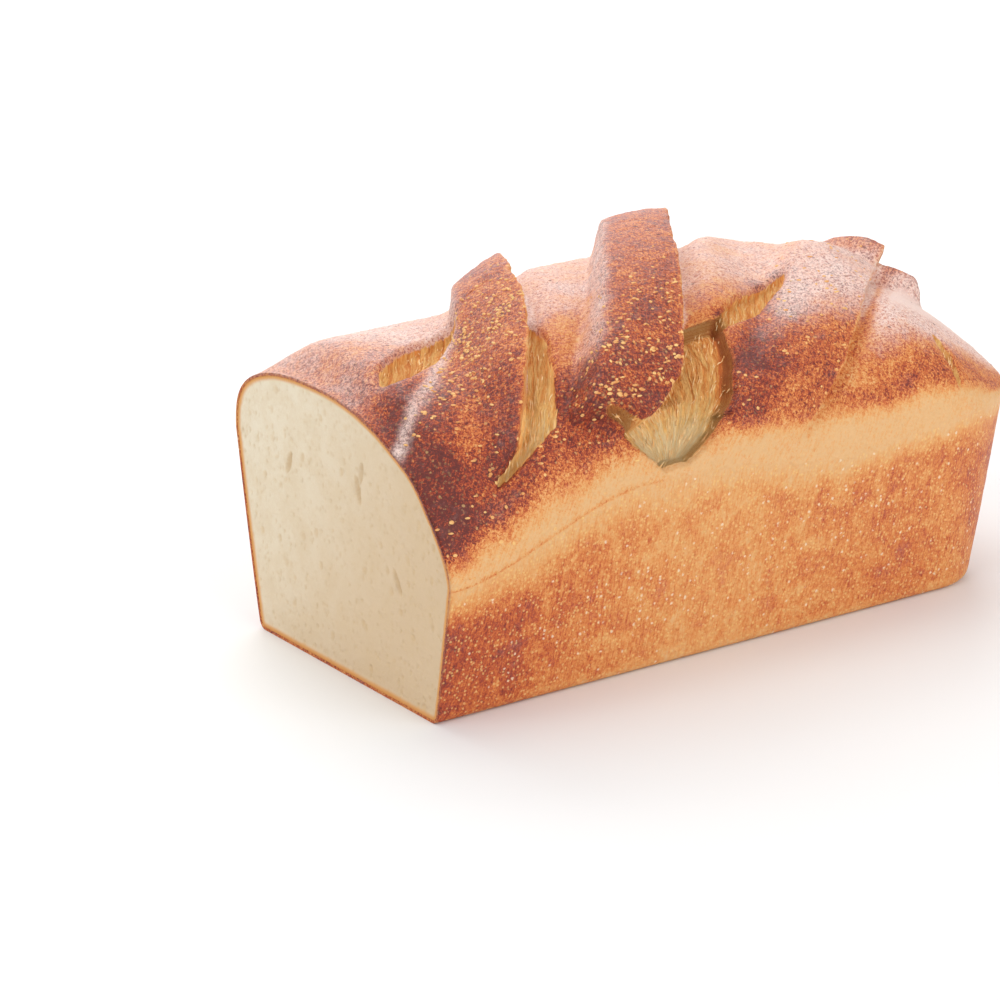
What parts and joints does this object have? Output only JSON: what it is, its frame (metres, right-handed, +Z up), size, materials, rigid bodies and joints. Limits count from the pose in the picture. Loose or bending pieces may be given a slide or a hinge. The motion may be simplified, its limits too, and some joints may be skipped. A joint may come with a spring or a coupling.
{
  "type": "potato bread loaf",
  "caption": "Tin-baked bread loaf with a tall slashed crust of raised ridges and torn crumb, cut across at one end so that the pale crumb shows.",
  "frame": {"origin": "middle of the loaf's box, on the flat base", "axes": "+X along the loaf from the cut face to the far end, +Y from the side that faces the camera to the far side, +Z up"},
  "size_m": [0.2504, 0.1242, 0.1229],
  "materials": {
    "crust": "baked golden-brown crust, darker on the ridges, pale along the seam",
    "crumb": "matt cream crumb with fine open pores"
  },
  "bodies": {
    "root": {"loaf": "crust"}
  },
  "joints": []
}
